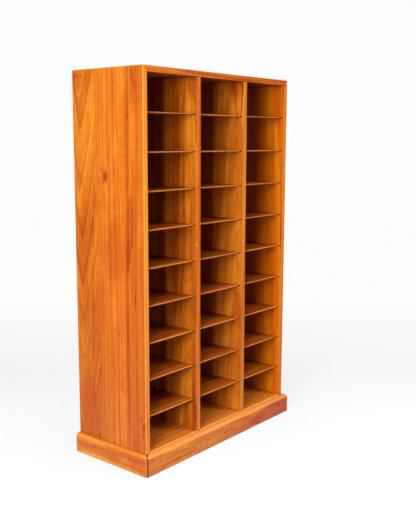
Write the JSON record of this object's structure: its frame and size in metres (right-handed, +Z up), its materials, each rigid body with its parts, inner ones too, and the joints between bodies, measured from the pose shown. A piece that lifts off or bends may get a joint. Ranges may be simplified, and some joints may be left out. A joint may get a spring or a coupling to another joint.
{
  "type": "pigeonhole cabinet",
  "caption": "Tall open-fronted pigeonhole cabinet of solid boards, with columns of thin shelves in stopped grooves, a boarded back and a rounded plinth.",
  "frame": {"origin": "on the floor, at the middle of the plinth's footprint", "axes": "+X across the front to the right, +Y from the open front to the back, +Z up"},
  "size_m": [1.052, 0.44, 1.675],
  "materials": {
    "case_wood": "oiled and waxed solid hardwood, orange brown, upright grain, satin",
    "floor_wood": "oiled solid hardwood, grain along the front, satin",
    "shelf_wood": "thin oiled board, grain along the front, satin",
    "back_wood": "planed matched boards, upright grain, thin oil",
    "plinth_wood": "oiled and waxed solid hardwood, long grain, worn rounded edges",
    "frame_wood": "sawn softwood, bare",
    "tongue_plywood": "thin plywood, bare",
    "screw_brass": "dull brass, slotted countersunk heads",
    "nail_steel": "dull steel wire nails",
    "stopping": "matt wood filler over the nail heads"
  },
  "bodies": {
    "root": {"left_side": "case_wood", "right_side": "case_wood", "divider_1": "case_wood", "divider_2": "case_wood", "top_board": "case_wood", "floor_board": "floor_wood", "shelf_left_1": "shelf_wood", "shelf_left_2": "shelf_wood", "shelf_left_3": "shelf_wood", "shelf_left_4": "shelf_wood", "shelf_left_5": "shelf_wood", "shelf_left_6": "shelf_wood", "shelf_left_7": "shelf_wood", "shelf_left_8": "shelf_wood", "shelf_left_9": "shelf_wood", "shelf_middle_1": "shelf_wood", "shelf_middle_2": "shelf_wood", "shelf_middle_3": "shelf_wood", "shelf_middle_4": "shelf_wood", "shelf_middle_5": "shelf_wood", "shelf_middle_6": "shelf_wood", "shelf_middle_7": "shelf_wood", "shelf_middle_8": "shelf_wood", "shelf_middle_9": "shelf_wood", "shelf_right_1": "shelf_wood", "shelf_right_2": "shelf_wood", "shelf_right_3": "shelf_wood", "shelf_right_4": "shelf_wood", "shelf_right_5": "shelf_wood", "shelf_right_6": "shelf_wood", "shelf_right_7": "shelf_wood", "shelf_right_8": "shelf_wood", "shelf_right_9": "shelf_wood", "back_board_1": "back_wood", "back_board_2": "back_wood", "back_board_3": "back_wood", "back_board_4": "back_wood", "back_board_5": "back_wood", "back_board_6": "back_wood", "back_board_7": "back_wood", "back_board_8": "back_wood", "plinth_front": "plinth_wood", "plinth_left": "plinth_wood", "plinth_right": "plinth_wood", "back_rail": "frame_wood", "floor_bearer_1": "frame_wood", "floor_bearer_2": "frame_wood", "top_tongue_left": "tongue_plywood", "top_tongue_right": "tongue_plywood", "back_screws": "screw_brass", "plinth_nails": "nail_steel", "nail_stopping": "stopping"}
  },
  "joints": []
}
